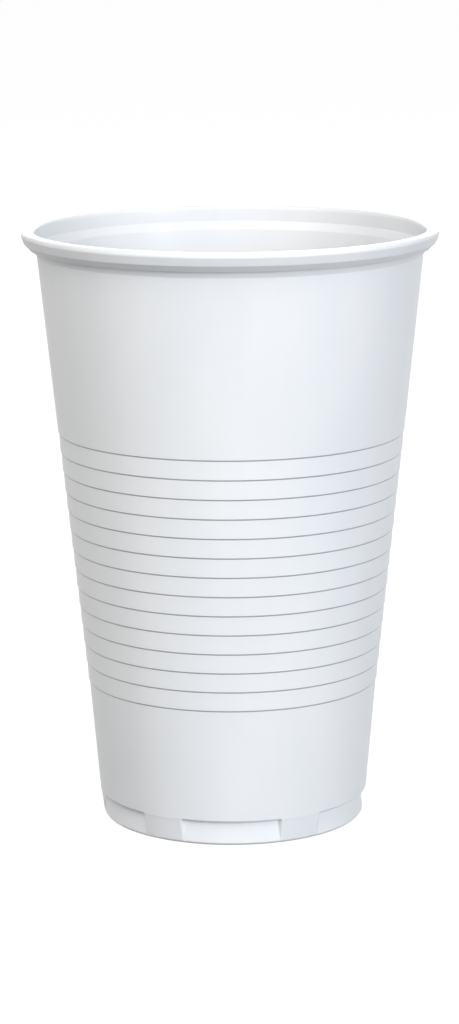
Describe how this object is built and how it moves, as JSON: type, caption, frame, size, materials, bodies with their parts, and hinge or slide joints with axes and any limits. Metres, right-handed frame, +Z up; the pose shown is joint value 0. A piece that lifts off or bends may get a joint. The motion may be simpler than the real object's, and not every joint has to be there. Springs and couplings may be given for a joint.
{
  "type": "plastic drinking cup",
  "caption": "Thin-walled white plastic drinking cup with a rolled rim, fine horizontal rib lines and a lugged foot ring.",
  "frame": {"origin": "on the cup's axis, at the plane that the foot ring stands on", "axes": "+Z up along the axis to the mouth, -Y to the front of the pictured side, +X to its right"},
  "size_m": [0.0702, 0.0702, 0.1013],
  "materials": {
    "white_polystyrene": "gloss"
  },
  "bodies": {
    "root": {"cup": "white_polystyrene"}
  },
  "joints": []
}
